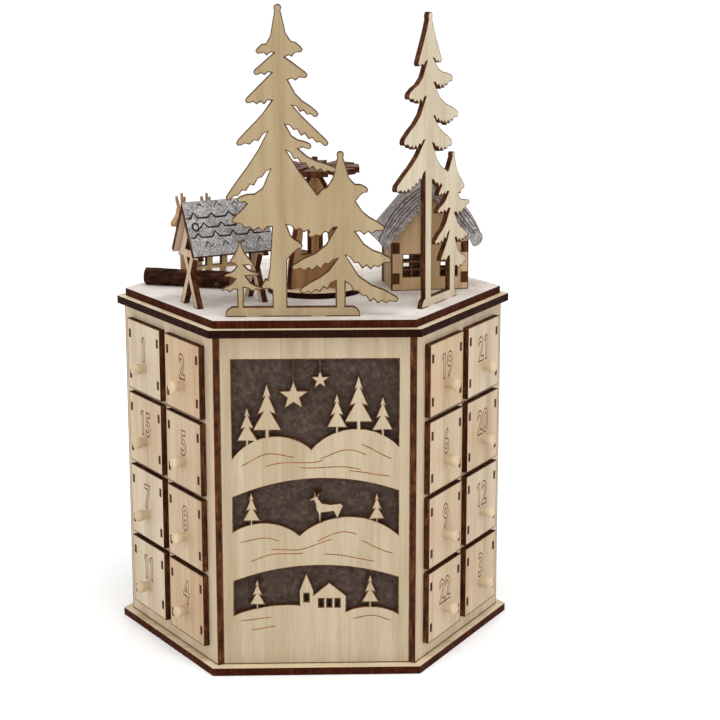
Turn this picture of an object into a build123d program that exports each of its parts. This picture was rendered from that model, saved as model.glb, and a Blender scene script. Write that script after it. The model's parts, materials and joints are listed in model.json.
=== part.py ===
from build123d import *
import os
from math import atan2, cos, degrees, pi, radians, sin, sqrt, tan

# Hexagonal body, its edge and heights
body_edge = 100.0
body_height = 171.0
base_overhang = 5.0
base_ply = 4.0
cornice_overhang = 4.0
cornice_ply = 4.0
snow_inset = 0.5
snow_ply = 4.0
wall_ply = 3.0
overrun = 1.0
face_turn = 60.0
right_angle = 90.0
half_turn = 180.0
body_sides = 6

# Drawers, their rows and columns
row_count = 4
row_gap = 2.3
first_row_height = 8.0
last_row_margin = 6.1
column_gap = 6.0
wall_stile = 9.0
drawer_front_ply = 3.0
drawer_ply = 2.5
drawer_depth_share = 0.635
drawer_lap = 1.4
drawer_clearance = 0.3
drawer_seat_gap = 0.2
drawer_top_gap = 1.5
drawer_tab_height = 4.6
drawer_tab_margin = 5.4
knob_drop = 5.0
knob_length = 7.0
knob_head_radius = 3.0
knob_neck_radius = 1.8
knob_tip_radius = 2.0
knob_flare_share = 0.7
knob_facets = 8

# Shelves and dividers inside the body
shelf_ply = 3.0
shelf_tab_width = 6.0
divider_ply = 3.0
divider_inset = 4.0
divider_width_share = 0.554

# Fret panels and their dark backings
panel_stile = 6.1
panel_rail = 12.0
backing_thickness = 1.0
backing_margin = 2.0

# Tree boards on the deck
tree_ply = 2.5
tree_inset = 8.8
foot_height_share = 0.0335
foot_round_share = 0.9
tree_tab_width = 8.0

# Manger, stags and log. Places on the deck are shares of the body's edge, from its middle.
manger_place_shares = (-0.619, -0.48)
manger_turn = 27.0
manger_ply = 3.0
trestle_spacing = 36.0
trestle_half_spread = 8.7
trestle_waist = 17.0
trestle_top = 29.0
leg_width = 4.4
manger_roof_half_span = 14.0
manger_roof_ridge = 53.0
manger_roof_eave = 27.5
manger_roof_ply = 2.5
manger_roof_overhang = 4.5
rack_bottom = 18.5
rack_height = 8.5
rack_hole = 5.2
rack_hole_pitch = 8.2
rack_hole_count = 4
stag_length = 36.0
stag_height = 47.5
stag_ply = 3.0
stag_place_shares = (-0.763, 0.125)
stag_step = 13.3
stag_turn = 63.0
log_radius = 4.8
log_length = 48.0
log_place_shares = (-0.89, 0.10)
log_turn = -16.8
log_flat_share = 0.05
stag_count = 2

# House
house_place_shares = (0.614, -0.11)
house_turn = 7.8
house_width = 41.0
house_depth = 30.0
house_ply = 3.0
house_edge = 0.7
house_ridge = 59.0
house_roof_half_span = 28.0
house_roof_pitch = 49.0
house_roof_ply = 2.5
house_roof_back_overhang = 3.0
bargeboard_ply = 2.5
bargeboard_half_span = 26.0
bargeboard_top = 57.0
bargeboard_shoulder = (15.8, 46.8)
bargeboard_end_height = 31.0
bargeboard_end_bulge = (27.4, 27.0)
bargeboard_foot = (22.8, 23.0)
bargeboard_inner_top = 49.0
bargeboard_drips = 6
bargeboard_drip = 1.5
house_tab_height = 5.0
house_tab_lower = 4.0
house_tab_upper = 20.2
window_pane_width = 3.9
window_pane_height = 3.2
window_bar = 1.0
window_sill = 7.5
window_spacing = 20.0
window_rows = 3

# Small pyramid in the middle of the deck
pyramid_place_shares = (0.01, -0.09)
pyramid_base_radius = 25.0
pyramid_base_ply = 3.0
pyramid_ply = 3.0
pyramid_half_width = 19.4
pyramid_height = 57.0
pyramid_top_half_width = 4.0
spindle_flange_radius = 4.5
spindle_flange_height = 2.5
spindle_radius = 1.5
spindle_length = 8.0
wheel_clearance = 0.05
wheel_lift = 0.3
wheel_radius = 24.0
wheel_hub_radius = 7.0
wheel_ply = 3.0
blade_count = 8

# Firs on the tree boards, as shares of the board's height. Each branch: height and reach of its tip, height
# and reach where its underside meets the stem, as shares of the fir's height and half width, then how far its
# upper edge dips and its underside bellies below straight runs, as shares of those runs.
front_tree_height = 152.0
tall_fir_shares = {"x": -0.1118, "height": 1.0, "half_width": 0.1974, "stem": 0.0240}
tall_fir_left_shares = [
    (0.854, 0.356, 0.848, 0.067, 0.45, 0.10),
    (0.788, 0.396, 0.786, 0.107, 0.00, 0.05),
    (0.699, 0.533, 0.698, 0.110, 0.00, 0.06),
    (0.565, 0.685, 0.600, 0.178, 0.06, 0.12),
    (0.390, 0.867, 0.480, 0.140, 0.06, 0.03),
    (0.382, 0.685, 0.369, 0.528, 0.45, 0.00),
    (0.316, 0.776, 0.294, 0.124, 0.05, 0.12),
    (0.100, 0.305, 0.088, 0.124, 0.50, 0.08),
]
tall_fir_right_shares = [
    (0.858, 0.399, 0.835, 0.121, 0.40, 0.10),
    (0.778, 0.475, 0.763, 0.161, 0.00, 0.05),
    (0.655, 0.647, 0.682, 0.232, 0.19, 0.04),
    (0.563, 0.805, 0.622, 0.116, 0.03, 0.00),
    (0.553, 0.531, 0.545, 0.323, 0.35, 0.00),
    (0.478, 0.931, 0.540, 0.120, 0.19, 0.12),
    (0.300, 1.022, 0.300, 0.122, 0.05, 0.12),
    (0.231, 0.379, 0.188, 0.122, 0.30, 0.08),
]
second_fir_shares = {"x": 0.0845, "height": 0.5368, "half_width": 0.1895, "stem": 0.0160}
second_fir_left_shares = [
    (0.726, 0.425, 0.652, 0.187, 0.35, 0.00),
    (0.500, 0.557, 0.559, 0.050, 0.00, 0.10),
    (0.302, 0.836, 0.354, 0.050, 0.25, 0.09),
    (0.160, 0.699, 0.215, 0.088, 0.17, 0.10),
]
second_fir_right_shares = [
    (0.768, 0.472, 0.700, 0.260, 0.46, 0.06),
    (0.537, 0.757, 0.516, 0.260, 0.18, 0.08),
    (0.343, 0.868, 0.374, 0.088, 0.24, 0.20),
    (0.103, 0.989, 0.210, 0.088, 0.25, 0.15),
]
small_fir_shares = {"x": -0.2395, "height": 0.2460, "half_width": 0.0789, "stem": 0.0099}
small_fir_left_shares = [
    (0.740, 0.420, 0.679, 0.140, 0.10, 0.08),
    (0.553, 0.653, 0.508, 0.210, 0.25, 0.08),
    (0.366, 0.767, 0.366, 0.140, 0.20, 0.10),
]
small_fir_right_shares = [
    (0.691, 0.589, 0.690, 0.171, 0.15, 0.08),
    (0.569, 0.805, 0.545, 0.247, 0.30, 0.08),
    (0.374, 0.906, 0.390, 0.140, 0.30, 0.10),
]
front_foot_shares = (-0.2895, 0.1480)
front_tab_shares = (-0.1974, 0.0132)
right_tree_height = 147.0
right_fir_shares = {"x": -0.1293, "height": 1.0, "half_width": 0.2408, "stem": 0.0231}
right_fir_left_shares = [
    (0.836, 0.368, 0.840, 0.086, 0.05, 0.10),
    (0.732, 0.647, 0.722, 0.111, 0.30, 0.12),
    (0.584, 0.792, 0.578, 0.140, 0.20, 0.12),
    (0.436, 1.008, 0.470, 0.126, 0.12, 0.12),
]
right_fir_right_shares = [
    (0.838, 0.371, 0.846, 0.105, 0.05, 0.10),
    (0.768, 0.736, 0.764, 0.130, 0.30, 0.12),
    (0.642, 0.927, 0.652, 0.130, 0.24, 0.12),
    (0.547, 0.740, 0.562, 0.097, 0.15, 0.12),
    (0.425, 0.740, 0.436, 0.100, 0.25, 0.12),
]
low_fir_shares = {"x": 0.0605, "height": 0.5143, "half_width": 0.1531, "stem": 0.0200}
low_fir_left_shares = [
    (0.739, 0.754, 0.735, 0.232, 0.10, 0.02),
    (0.622, 0.787, 0.618, 0.160, 0.20, 0.03),
    (0.418, 0.918, 0.467, 0.173, 0.20, 0.12),
    (0.292, 0.604, 0.296, 0.153, 0.10, 0.12),
]
low_fir_right_shares = [
    (0.745, 0.598, 0.700, 0.258, 0.20, 0.12),
    (0.627, 0.880, 0.580, 0.090, 0.35, 0.12),
    (0.402, 0.820, 0.408, 0.127, 0.20, 0.12),
    (0.233, 0.780, 0.210, 0.140, 0.30, 0.12),
]
right_foot_shares = (-0.1769, 0.0952)
right_tab_shares = (-0.1020, 0.0408)

# Fir tips and rounded branch ends as shares of the half width, drips of snow as shares of the board's height
fir_point_share = 0.05
branch_end_share = 0.05
branch_steps = 4
end_steps = 3
end_droop = 60.0
drip_pitch_share = 0.026
drip_rise_share = 0.005
drip_drop_shares = (0.009, 0.003, 0.006)
# Greatest value of the dip's curve, share times the square of what is left of the run
dip_peak = 4 / 27

# Stag outline, shares of its length from the nose and of its height from the ground
stag_outline_shares = [
    (0.30, 0.00), (0.35, 0.00), (0.37, 0.30), (0.68, 0.34), (0.75, 0.20), (0.72, 0.00), (0.78, 0.00),
    (0.82, 0.20), (0.90, 0.40), (0.96, 0.50), (0.88, 0.58), (0.60, 0.55), (0.38, 0.59), (0.30, 0.70),
    (0.28, 0.77), (0.34, 0.83), (0.40, 0.93), (0.37, 0.95), (0.32, 0.87), (0.31, 0.99), (0.28, 1.00),
    (0.28, 0.85), (0.23, 0.79), (0.21, 0.88), (0.15, 0.98), (0.12, 0.96), (0.17, 0.86), (0.17, 0.77),
    (0.02, 0.68), (0.05, 0.64), (0.16, 0.66), (0.21, 0.56), (0.22, 0.40), (0.28, 0.28),
]

# Fretwork, shares of the window's half width from its middle and of its height from its foot
hill_top_shares = [
    [(-1.0, 0.66), (-0.55, 0.735), (-0.05, 0.69), (0.45, 0.76), (1.0, 0.70)],
    [(-1.0, 0.40), (-0.60, 0.43), (-0.20, 0.385), (0.35, 0.45), (1.0, 0.385)],
    [(-1.0, 0.10), (-0.35, 0.135), (0.30, 0.10), (0.70, 0.125), (1.0, 0.10)],
]
hill_foot_shares = [
    [(-1.0, 0.52), (0.0, 0.585), (1.0, 0.54)],
    [(-1.0, 0.22), (0.0, 0.275), (1.0, 0.23)],
    [(-1.0, 0.0), (1.0, 0.0)],
]
fret_fir_shares = [
    (-0.82, 0.70, 0.14), (-0.58, 0.73, 0.19), (0.26, 0.745, 0.14), (0.52, 0.757, 0.19), (0.81, 0.735, 0.14),
    (-0.78, 0.42, 0.12), (0.74, 0.425, 0.11), (-0.72, 0.12, 0.11), (0.66, 0.124, 0.12),
]
fret_fir_width_share = 0.27
fret_tier_count = 3
fret_tier_share = 0.29
fret_tier_notch_share = 0.45
fret_tier_lift_share = 0.04
fret_stem_share = 0.16
fret_stag_shares = {"x": -0.10, "z": 0.425, "length": 0.46, "height": 0.125}
fret_star_shares = [(-0.26, 0.875, 0.055), (0.06, 0.93, 0.036)]
star_points = 5
star_inner_share = 0.42
star_thread_width = 0.8
chapel_shares = {"x": 0.16, "width": 0.42, "wall": 0.165, "roof": 0.215}
steeple_shares = {"x": -0.12, "width": 0.18, "wall": 0.185, "roof": 0.250}
chapel_window_width = 2.2
chapel_window_height = 4.2
chapel_window_shares = [(0.06, 0.125), (0.16, 0.125), (0.26, 0.125), (-0.12, 0.145)]

# Crossed boards of the pyramid, shares of their half width and height
pyramid_flank_shares = [(1.0, 0.0), (0.97, 0.16), (0.85, 0.36), (0.62, 0.72), (0.40, 0.92)]
pyramid_window_shares = [(0.22, 0.30), (0.62, 0.30), (0.52, 0.55), (0.22, 0.66)]
half_lap_share = 0.5
frame_turn = 45.0
blade_root_share = 0.28
blade_tip_share = 0.36

# Heights and offsets that follow from the sizes above
flat_ratio = cos(radians(face_turn / 2))
apothem = body_edge * flat_ratio
base_edge = body_edge + base_overhang
cornice_edge = body_edge + cornice_overhang
snow_edge = body_edge - snow_inset
body_bottom = base_ply
body_top = body_bottom + body_height
snow_bottom = body_top + cornice_ply
deck = snow_bottom + snow_ply
panel_depth = apothem - wall_ply / 2
panel_half_width = body_edge / 2 - wall_ply * flat_ratio
inner_drawer_face = apothem - wall_ply
inner_panel_face = panel_depth - wall_ply - backing_thickness
panel_window_width = 2 * (panel_half_width - panel_stile)
panel_window_height = body_height - 2 * panel_rail
drawer_front_width = (body_edge - column_gap) / 2 - wall_stile
column_spacing = drawer_front_width + column_gap
row_pitch = (body_height - first_row_height - last_row_margin + row_gap) / row_count
drawer_front_height = row_pitch - row_gap
drawer_tab_spacing = drawer_front_height - 2 * drawer_tab_margin - drawer_tab_height
drawer_depth = apothem * drawer_depth_share
divider_width = apothem * divider_width_share
opening_width = drawer_front_width - 2 * drawer_lap
opening_height = drawer_front_height - 2 * drawer_lap
box_width = opening_width - 2 * drawer_clearance
box_height = opening_height - drawer_seat_gap - drawer_top_gap
tree_plane = snow_edge * flat_ratio - tree_inset


def row_bottom(row):
    """Height of the lower edge of the drawer fronts in a row, counted from below."""
    return body_bottom + first_row_height + row * row_pitch


def shelf_top(row):
    """Height of the shelf that a row of drawers runs on."""
    return row_bottom(row) + drawer_lap


def polygon(points):
    """Flat face with straight edges."""
    return make_face(Polyline(*points, close=True))


def rectangle(low_x, low_y, high_x, high_y):
    """Flat rectangle between two corners."""
    return polygon([(low_x, low_y), (high_x, low_y), (high_x, high_y), (low_x, high_y)])


def block(low, high):
    """Box between two corners."""
    size = [high[i] - low[i] for i in range(3)]
    middle = [(high[i] + low[i]) / 2 for i in range(3)]
    return Pos(*middle) * Box(*size)


def upright(face, ply):
    """Board cut to a face drawn in x and z, with its back on y = 0 and its front towards -y."""
    return Rot(right_angle, 0, 0) * extrude(face, amount=ply)


def on_face(shape, number):
    """Carry a shape from the front of the body to another of its six sides."""
    return Rot(0, 0, face_turn * number) * shape


def on_deck(shape, place_shares):
    """Stand a shape on the deck, at shares of the body's edge from its middle."""
    return Pos(place_shares[0] * body_edge, place_shares[1] * body_edge, deck) * shape


def hexagon(plate_side, ply, bottom):
    """Hexagonal plate with two corners on the x axis."""
    return Pos(0, 0, bottom) * extrude(RegularPolygon(plate_side, body_sides), amount=ply)


# Sides that hold drawers and sides that hold fret panels, counted from the front
drawer_sides = {"right": 1, "back": 3, "left": 5}
panel_sides = {"front": 0, "back_right": 2, "back_left": 4}

# Days of the drawers on each side, top row first, left column first
day_names = {
    "left": [("01", "02"), ("15", "05"), ("07", "08"), ("11", "04")],
    "right": [("19", "21"), ("06", "20"), ("09", "12"), ("22", "03")],
    "back": [("10", "17"), ("24", "13"), ("16", "23"), ("18", "14")],
}


def drawer_wall():
    """Front drawer wall with its openings and the slots for the shelf tabs."""
    wall = block((-body_edge / 2, -apothem, body_bottom), (body_edge / 2, -inner_drawer_face, body_top))
    for row in range(row_count):
        low = shelf_top(row)
        for column in (-1, 1):
            middle = column * column_spacing / 2
            wall -= block(
                (middle - opening_width / 2, -apothem - overrun, low),
                (middle + opening_width / 2, -inner_drawer_face + overrun, low + opening_height),
            )
        wall -= block(
            (-shelf_tab_width / 2, -apothem - overrun, low - shelf_ply),
            (shelf_tab_width / 2, -inner_drawer_face + overrun, low),
        )
    return wall


def drawer_pieces(row, column):
    """Front, sides, back, bottom and knob of one closed drawer in the front wall."""
    middle = column * column_spacing / 2
    low = row_bottom(row)
    front_back = -apothem - drawer_seat_gap
    front_face = front_back - drawer_front_ply
    centre = low + drawer_front_height / 2
    floor = shelf_top(row) + drawer_seat_gap
    rear = front_back + drawer_depth
    tab_lows = [centre + way * drawer_tab_spacing / 2 - drawer_tab_height / 2 for way in (-1, 1)]
    front = block(
        (middle - drawer_front_width / 2, front_face, low),
        (middle + drawer_front_width / 2, front_back, low + drawer_front_height),
    )
    pieces = []
    for way in (-1, 1):
        outer = middle + way * box_width / 2
        inner = outer - way * drawer_ply
        left, right = min(outer, inner), max(outer, inner)
        board = block((left, front_back, floor), (right, rear, floor + box_height))
        for tab_low in tab_lows:
            tab = block((left, front_face, tab_low), (right, front_back, tab_low + drawer_tab_height))
            board += tab
            front -= tab
        pieces.append(board)
    inside = box_width / 2 - drawer_ply
    pieces.append(
        block(
            (middle - inside, rear - drawer_ply, floor),
            (middle + inside, rear, floor + box_height),
        )
    )
    pieces.append(
        block(
            (middle - inside, front_back, floor),
            (middle + inside, rear - drawer_ply, floor + drawer_ply),
        )
    )
    knob = Pos(middle, front_face, centre - knob_drop) * turned_knob()
    return [front] + pieces + [knob]


def tapered(radius, end_radius, length):
    """Upright many-sided bar that narrows from one radius to another."""
    taper = degrees(atan2((radius - end_radius) * cos(pi / knob_facets), length))
    return extrude(RegularPolygon(radius, knob_facets), amount=length, taper=taper)


def turned_knob():
    """Small knob that stands out towards -y, flares from its neck and narrows to its tip."""
    flare = knob_length * knob_flare_share
    neck = Rot(half_turn, 0, 0) * tapered(knob_head_radius, knob_neck_radius, flare)
    head = tapered(knob_head_radius, knob_tip_radius, knob_length - flare)
    return Rot(right_angle, 0, 0) * Pos(0, 0, flare) * (neck + head)


def shelf(row):
    """Shelf with a tab in each drawer wall and a slot for each divider."""
    top = shelf_top(row)
    plate_side = inner_drawer_face / flat_ratio
    plate = hexagon(plate_side, shelf_ply, top - shelf_ply)
    for number in panel_sides.values():
        beyond = block(
            (-body_edge, -inner_drawer_face - overrun, top - shelf_ply - overrun),
            (body_edge, -inner_panel_face, top + overrun),
        )
        plate -= on_face(beyond, number)
    for number in drawer_sides.values():
        tab = block(
            (-shelf_tab_width / 2, -apothem, top - shelf_ply),
            (shelf_tab_width / 2, -inner_drawer_face, top),
        )
        plate += on_face(tab, number)
        plate -= on_face(divider(), number)
    return plate


def divider():
    """Upright board between the two drawer columns of the front wall."""
    outer = -inner_drawer_face + divider_inset
    return block(
        (-divider_ply / 2, outer, body_bottom),
        (divider_ply / 2, outer + divider_width, body_top),
    )


def branch_edges(start, tip, under, dip_share, belly_share, way, end, board_height):
    """Swept upper edge, rounded end and dripping underside of one branch, from the stem and back."""
    middle = (tip[0] - way * end, tip[1])
    cap = []
    for step in range(end_steps + 1):
        angle = radians(end_droop - step * half_turn / end_steps)
        cap.append((middle[0] + way * end * cos(angle), middle[1] + end * sin(angle)))
    run = (cap[0][0] - start[0], cap[0][1] - start[1])
    points = []
    for step in range(1, branch_steps):
        share = step / branch_steps
        fall = share + dip_share * share * (1 - share) ** 2 / dip_peak
        points.append((start[0] + share * run[0], start[1] + fall * run[1]))
    points += cap
    lower = cap[-1]
    run = (under[0] - lower[0], under[1] - lower[1])
    drips = max(1, round(abs(run[0]) / (board_height * drip_pitch_share)))
    for half_drip in range(1, 2 * drips):
        share = half_drip / (2 * drips)
        drop_share = drip_drop_shares[half_drip // 2 % len(drip_drop_shares)]
        shift = board_height * (drip_rise_share if half_drip % 2 else -drop_share)
        belly = belly_share * abs(run[0]) * (1 - (2 * share - 1) ** 2)
        points.append((lower[0] + share * run[0], lower[1] + share * run[1] + shift - belly))
    return Polyline(start, *points, under)


def fir(board_height, fir_shares, left_shares, right_shares):
    """Outline of a snowy fir that stands on z = 0, drawn from shares of its board's height."""
    keys = ("x", "height", "half_width", "stem")
    x, height, half_width, stem = [board_height * fir_shares[key] for key in keys]
    point = half_width * fir_point_share
    end = half_width * branch_end_share
    shoulder = height - 2 * point
    edges = [ThreePointArc((x - point, shoulder), (x, height), (x + point, shoulder))]
    for way, shares in ((-1, left_shares), (1, right_shares)):
        start = (x + way * point, shoulder)
        for tip_share, reach_share, under_share, neck_share, dip_share, belly_share in shares:
            tip = (x + way * reach_share * half_width, tip_share * height)
            under = (x + way * neck_share * half_width, under_share * height)
            edges.append(branch_edges(start, tip, under, dip_share, belly_share, way, end, board_height))
            start = under
        foot = (x + way * stem, 0)
        edges.append(Line(start, foot))
    edges.append(Line((x - stem, 0), (x + stem, 0)))
    return make_face(edges)


def foot_strip(board_height, foot_shares):
    """Low strip with rounded upper corners that joins the stems of a tree board."""
    height = board_height * foot_height_share
    strip = rectangle(board_height * foot_shares[0], 0, board_height * foot_shares[1], height)
    return fillet(strip.vertices().group_by(Axis.Y)[-1], height * foot_round_share)


def tree_tabs(board_height, tab_shares):
    """Tabs under a tree board that go through the snow plate."""
    half = tree_tab_width / 2
    places = [board_height * share for share in tab_shares]
    return Sketch() + [rectangle(x - half, -snow_ply, x + half, 0) for x in places]


def front_tree_board():
    """Three firs on one foot, near the front edge of the deck."""
    face = fir(front_tree_height, tall_fir_shares, tall_fir_left_shares, tall_fir_right_shares)
    face += fir(front_tree_height, second_fir_shares, second_fir_left_shares, second_fir_right_shares)
    face += fir(front_tree_height, small_fir_shares, small_fir_left_shares, small_fir_right_shares)
    face += foot_strip(front_tree_height, front_foot_shares)
    face += tree_tabs(front_tree_height, front_tab_shares)
    return Pos(0, -tree_plane + tree_ply, deck) * upright(face, tree_ply)


def right_tree_board():
    """Two firs on one foot, along the front right edge of the deck."""
    face = fir(right_tree_height, right_fir_shares, right_fir_left_shares, right_fir_right_shares)
    face += fir(right_tree_height, low_fir_shares, low_fir_left_shares, low_fir_right_shares)
    face += foot_strip(right_tree_height, right_foot_shares)
    face += tree_tabs(right_tree_height, right_tab_shares)
    return on_face(Pos(0, -tree_plane + tree_ply, deck) * upright(face, tree_ply), drawer_sides["right"])


def snow_plate():
    """Upper plate with slots for the tabs of the tree boards."""
    plate = hexagon(snow_edge, snow_ply, snow_bottom)
    for board_height, tab_shares, number in (
        (front_tree_height, front_tab_shares, panel_sides["front"]),
        (right_tree_height, right_tab_shares, drawer_sides["right"]),
    ):
        slots = upright(tree_tabs(board_height, tab_shares), tree_ply)
        plate -= on_face(Pos(0, -tree_plane + tree_ply, deck) * slots, number)
    return plate


def stag(x, z, length, height):
    """Outline of a standing stag that faces -x, with its nose at x and its feet at z."""
    return polygon([(x + a * length, z + b * height) for a, b in stag_outline_shares])


def stags():
    """Two stags side by side behind the log, facing the manger."""
    board = upright(stag(0, 0, stag_length, stag_height), stag_ply)
    board = Rot(0, 0, stag_turn) * board
    return [
        on_deck(Pos(number * stag_step, 0, 0) * board, stag_place_shares)
        for number in range(stag_count)
    ]


def log():
    """Round log with a narrow flat where it lies on the deck."""
    flat = log_radius * log_flat_share
    body = Pos(0, 0, log_radius - flat) * Rot(0, right_angle, 0) * Cylinder(
        log_radius, log_length, align=(Align.CENTER, Align.CENTER, Align.MIN)
    )
    body -= block((-overrun, -log_radius, -log_radius), (log_length + overrun, log_radius, 0))
    return on_deck(Rot(0, 0, log_turn) * body, log_place_shares)


def scaled(shares):
    """Places in the window from shares of its half width and height."""
    return [(x * panel_window_width / 2, z * panel_window_height) for x, z in shares]


def wavy(points):
    """Chain of arcs through every other point, or one line between two points."""
    if len(points) == 2:
        return [Line(*points)]
    return [ThreePointArc(*points[i : i + 3]) for i in range(0, len(points) - 2, 2)]


def hill(top_shares, foot_shares):
    """Band of snow across the window between two wavy edges."""
    top = scaled(top_shares)
    foot = scaled(foot_shares)
    return make_face(wavy(top) + wavy(foot) + [Line(top[0], foot[0]), Line(top[-1], foot[-1])])


def fret_fir(x, z, height):
    """Small fir of a few tiers in the fretwork."""
    reach = height * fret_fir_width_share
    stem = reach * fret_stem_share
    right = [(0, height)]
    for tier in range(1, fret_tier_count + 1):
        width = reach * tier / fret_tier_count
        level = height * (1 - tier * fret_tier_share)
        right.append((width, level))
        right.append((width * fret_tier_notch_share, level + height * fret_tier_lift_share))
    right[-1] = (stem, right[-2][1])
    right.append((stem, -reach / 2))
    left = [(-a, b) for a, b in reversed(right[1:])]
    return polygon([(x + a, z + b) for a, b in right + left])


def star(x, z, radius):
    """Star that hangs on a thread from the top of the window."""
    points = []
    for step in range(2 * star_points):
        reach = radius if step % 2 == 0 else radius * star_inner_share
        turn = radians(right_angle + step * half_turn / star_points)
        points.append((x + reach * cos(turn), z + reach * sin(turn)))
    half = star_thread_width / 2
    return polygon(points) + rectangle(x - half, z, x + half, panel_window_height)


def gabled(shares):
    """Gabled outline that stands on the foot of the window."""
    half = shares["width"] / 2
    left = shares["x"] - half
    right = shares["x"] + half
    outline_shares = [(left, 0), (right, 0), (right, shares["wall"]), (shares["x"], shares["roof"])]
    outline_shares.append((left, shares["wall"]))
    return polygon(scaled(outline_shares))


def fretwork():
    """Snowy hills with firs, a stag, two stars and a chapel, all joined to the window's frame."""
    face = Sketch()
    for top_shares, foot_shares in zip(hill_top_shares, hill_foot_shares):
        face += hill(top_shares, foot_shares)
    for x_share, z_share, height_share in fret_fir_shares:
        place = scaled([(x_share, z_share)])[0]
        face += fret_fir(*place, height_share * panel_window_height)
    place = scaled([(fret_stag_shares["x"], fret_stag_shares["z"])])[0]
    size = scaled([(fret_stag_shares["length"], fret_stag_shares["height"])])[0]
    face += stag(*place, *size)
    for x_share, z_share, radius_share in fret_star_shares:
        place = scaled([(x_share, z_share)])[0]
        face += star(*place, radius_share * panel_window_height)
    face += gabled(chapel_shares)
    face += gabled(steeple_shares)
    for x, z in scaled(chapel_window_shares):
        half = chapel_window_width / 2
        face -= rectangle(x - half, z, x + half, z + chapel_window_height)
    return face


def fret_panel():
    """Front panel with the fretwork left standing in its window."""
    half_width = panel_window_width / 2
    window = rectangle(-half_width, 0, half_width, panel_window_height)
    holes = Pos(0, panel_rail) * (window - fretwork())
    face = rectangle(-panel_half_width, 0, panel_half_width, body_height) - holes
    return Pos(0, -panel_depth + wall_ply, body_bottom) * upright(face, wall_ply)


def backing():
    """Thin dark sheet behind a fret panel."""
    return block(
        (-panel_half_width + backing_margin, -panel_depth + wall_ply, body_bottom + backing_margin),
        (panel_half_width - backing_margin, -inner_panel_face, body_top - backing_margin),
    )


def on_manger(shape):
    """Place a shape from the manger's own frame, x along its ridge from the left trestle."""
    return on_deck(Rot(0, 0, manger_turn) * shape, manger_place_shares)


def across(face, ply):
    """Board cut to a face drawn in y and z, with its thickness centred on x = 0."""
    return Pos(-ply / 2, 0, 0) * Rot(0, 0, right_angle) * upright(face, ply)


manger_rise = manger_roof_ridge - manger_roof_eave
manger_slope = sqrt(manger_rise**2 + manger_roof_half_span**2)
manger_roof_drop = manger_roof_ply * manger_slope / manger_roof_half_span
manger_inner_ridge = manger_roof_ridge - manger_roof_drop


def trestle(place):
    """Crossed legs with an open gable that carries the roof."""
    top_reach = trestle_half_spread * (trestle_top - trestle_waist) / trestle_waist
    face = Sketch()
    for way in (-1, 1):
        low = -way * trestle_half_spread
        high = way * top_reach
        face += polygon(
            [
                (low - leg_width / 2, 0), (low + leg_width / 2, 0),
                (high + leg_width / 2, trestle_top), (high - leg_width / 2, trestle_top),
            ]
        )
    base = trestle_top - leg_width
    reach = (manger_inner_ridge - base) * manger_roof_half_span / manger_rise
    gable = polygon([(-reach, base), (reach, base), (0, manger_inner_ridge)])
    inner_reach = reach - leg_width * manger_slope / manger_rise - leg_width
    hole = polygon(
        [
            (-inner_reach, base + leg_width), (inner_reach, base + leg_width),
            (0, base + leg_width + inner_reach * manger_rise / manger_roof_half_span),
        ]
    )
    return on_manger(Pos(place, 0, 0) * across(face + gable - hole, manger_ply))


def hay_rack():
    """Board with square holes between the trestles."""
    inside = trestle_spacing - manger_ply
    face = rectangle(0, rack_bottom, inside, rack_bottom + rack_height)
    first = inside / 2 - (rack_hole_count - 1) * rack_hole_pitch / 2
    level = rack_bottom + (rack_height - rack_hole) / 2
    for number in range(rack_hole_count):
        middle = first + number * rack_hole_pitch
        face -= rectangle(middle - rack_hole / 2, level, middle + rack_hole / 2, level + rack_hole)
    return on_manger(Pos(manger_ply / 2, manger_ply / 2, 0) * upright(face, manger_ply))


def manger_roof(way):
    """One slope of the manger's roof, mitred at the ridge."""
    length = trestle_spacing + 2 * manger_roof_overhang
    eave = (way * manger_roof_half_span, manger_roof_eave)
    inward = manger_roof_ply / manger_slope
    lower = (eave[0] - way * inward * manger_rise, eave[1] - inward * manger_roof_half_span)
    face = polygon([(0, manger_roof_ridge), eave, lower, (0, manger_inner_ridge)])
    return on_manger(Pos(trestle_spacing / 2, 0, 0) * across(face, length))


def on_house(shape):
    """Place a shape from the house's own frame, x along its front wall and y into it."""
    return on_deck(Rot(0, 0, house_turn) * shape, house_place_shares)


house_fall = tan(radians(house_roof_pitch))
house_roof_drop = house_roof_ply / cos(radians(house_roof_pitch))


def roof_underside(x):
    """Height of the underside of the house's roof at a distance from its ridge."""
    return house_ridge - house_roof_drop - abs(x) * house_fall


def gable_wall():
    """Front and back walls of the house, with windows of small panes and holes for the side walls' tabs."""
    half = house_width / 2
    eave = roof_underside(half)
    face = polygon([(-half, 0), (half, 0), (half, eave), (0, roof_underside(0)), (-half, eave)])
    for way in (-1, 1):
        outer = way * (half - house_edge)
        inner = outer - way * house_ply
        for low in (house_tab_lower, house_tab_upper):
            face -= rectangle(min(inner, outer), low, max(inner, outer), low + house_tab_height)
        for column in (-1, 1):
            middle = way * window_spacing / 2 + column * (window_pane_width + window_bar) / 2
            left = middle - window_pane_width / 2
            for row in range(window_rows):
                low = window_sill + row * (window_pane_height + window_bar)
                face -= rectangle(left, low, left + window_pane_width, low + window_pane_height)
    return face


def house_front_wall():
    """Front wall of the house."""
    return on_house(Pos(0, house_ply, 0) * upright(gable_wall(), house_ply))


def house_back_wall():
    """Back wall, like the front one, so that light falls through the windows."""
    return on_house(Pos(0, house_depth, 0) * upright(gable_wall(), house_ply))


def house_side_walls():
    """Two side walls with tabs through the front and back walls."""
    outer = house_width / 2 - house_edge
    walls = []
    for way in (-1, 1):
        left = min(way * outer, way * (outer - house_ply))
        rear = house_depth - house_ply
        wall = block((left, house_ply, 0), (left + house_ply, rear, roof_underside(outer)))
        for low in (house_tab_lower, house_tab_upper):
            wall += block((left, 0, low), (left + house_ply, house_depth, low + house_tab_height))
        walls.append(on_house(wall))
    return walls


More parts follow.
